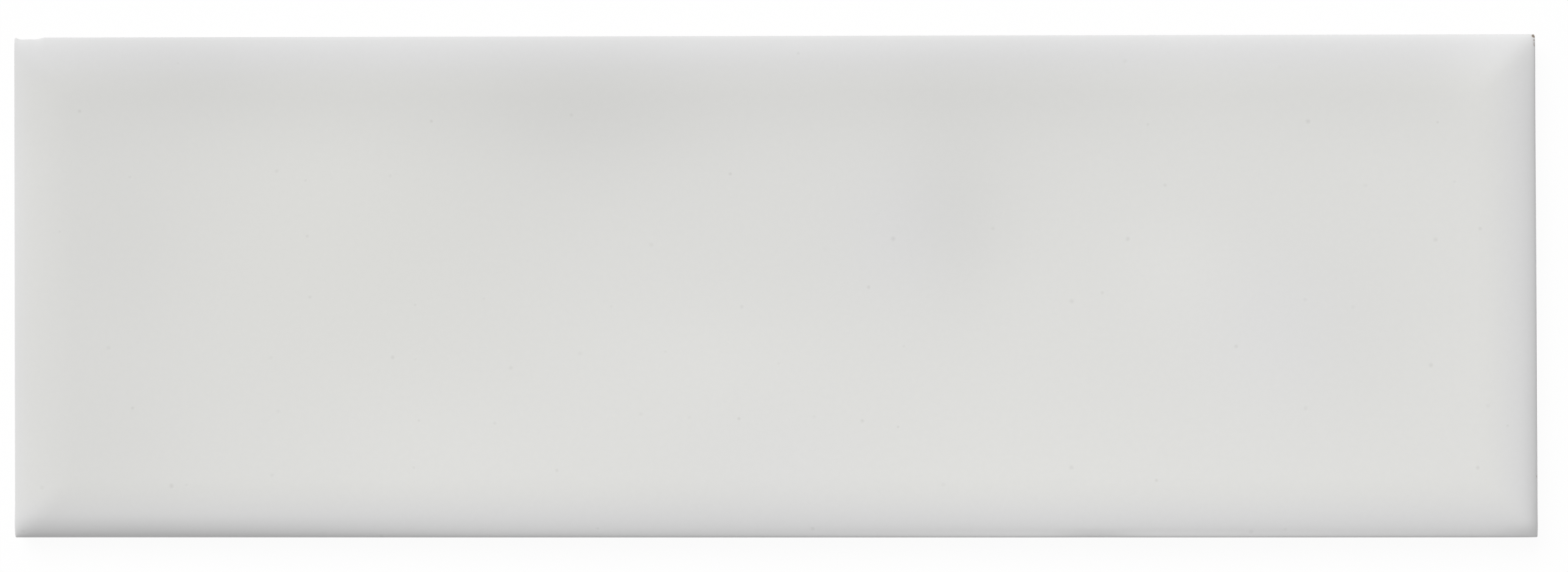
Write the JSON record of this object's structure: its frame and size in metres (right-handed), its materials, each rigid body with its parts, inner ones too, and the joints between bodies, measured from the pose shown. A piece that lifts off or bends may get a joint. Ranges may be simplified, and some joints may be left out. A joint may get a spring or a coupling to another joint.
{
  "type": "field tile",
  "caption": "Rectangular glazed ceramic wall tile with a cushioned rim, a gently uneven white face and a keyed back, for filling the plain field of a wall.",
  "frame": {"origin": "centre of the keyed back, on the plane that the tile lies on", "axes": "+X along the length, +Y across the width, +Z out of the glazed face"},
  "size_m": [0.2986, 0.0984, 0.0094],
  "materials": {
    "white_glaze": "gloss"
  },
  "bodies": {
    "root": {"field_tile": "white_glaze"}
  },
  "joints": []
}
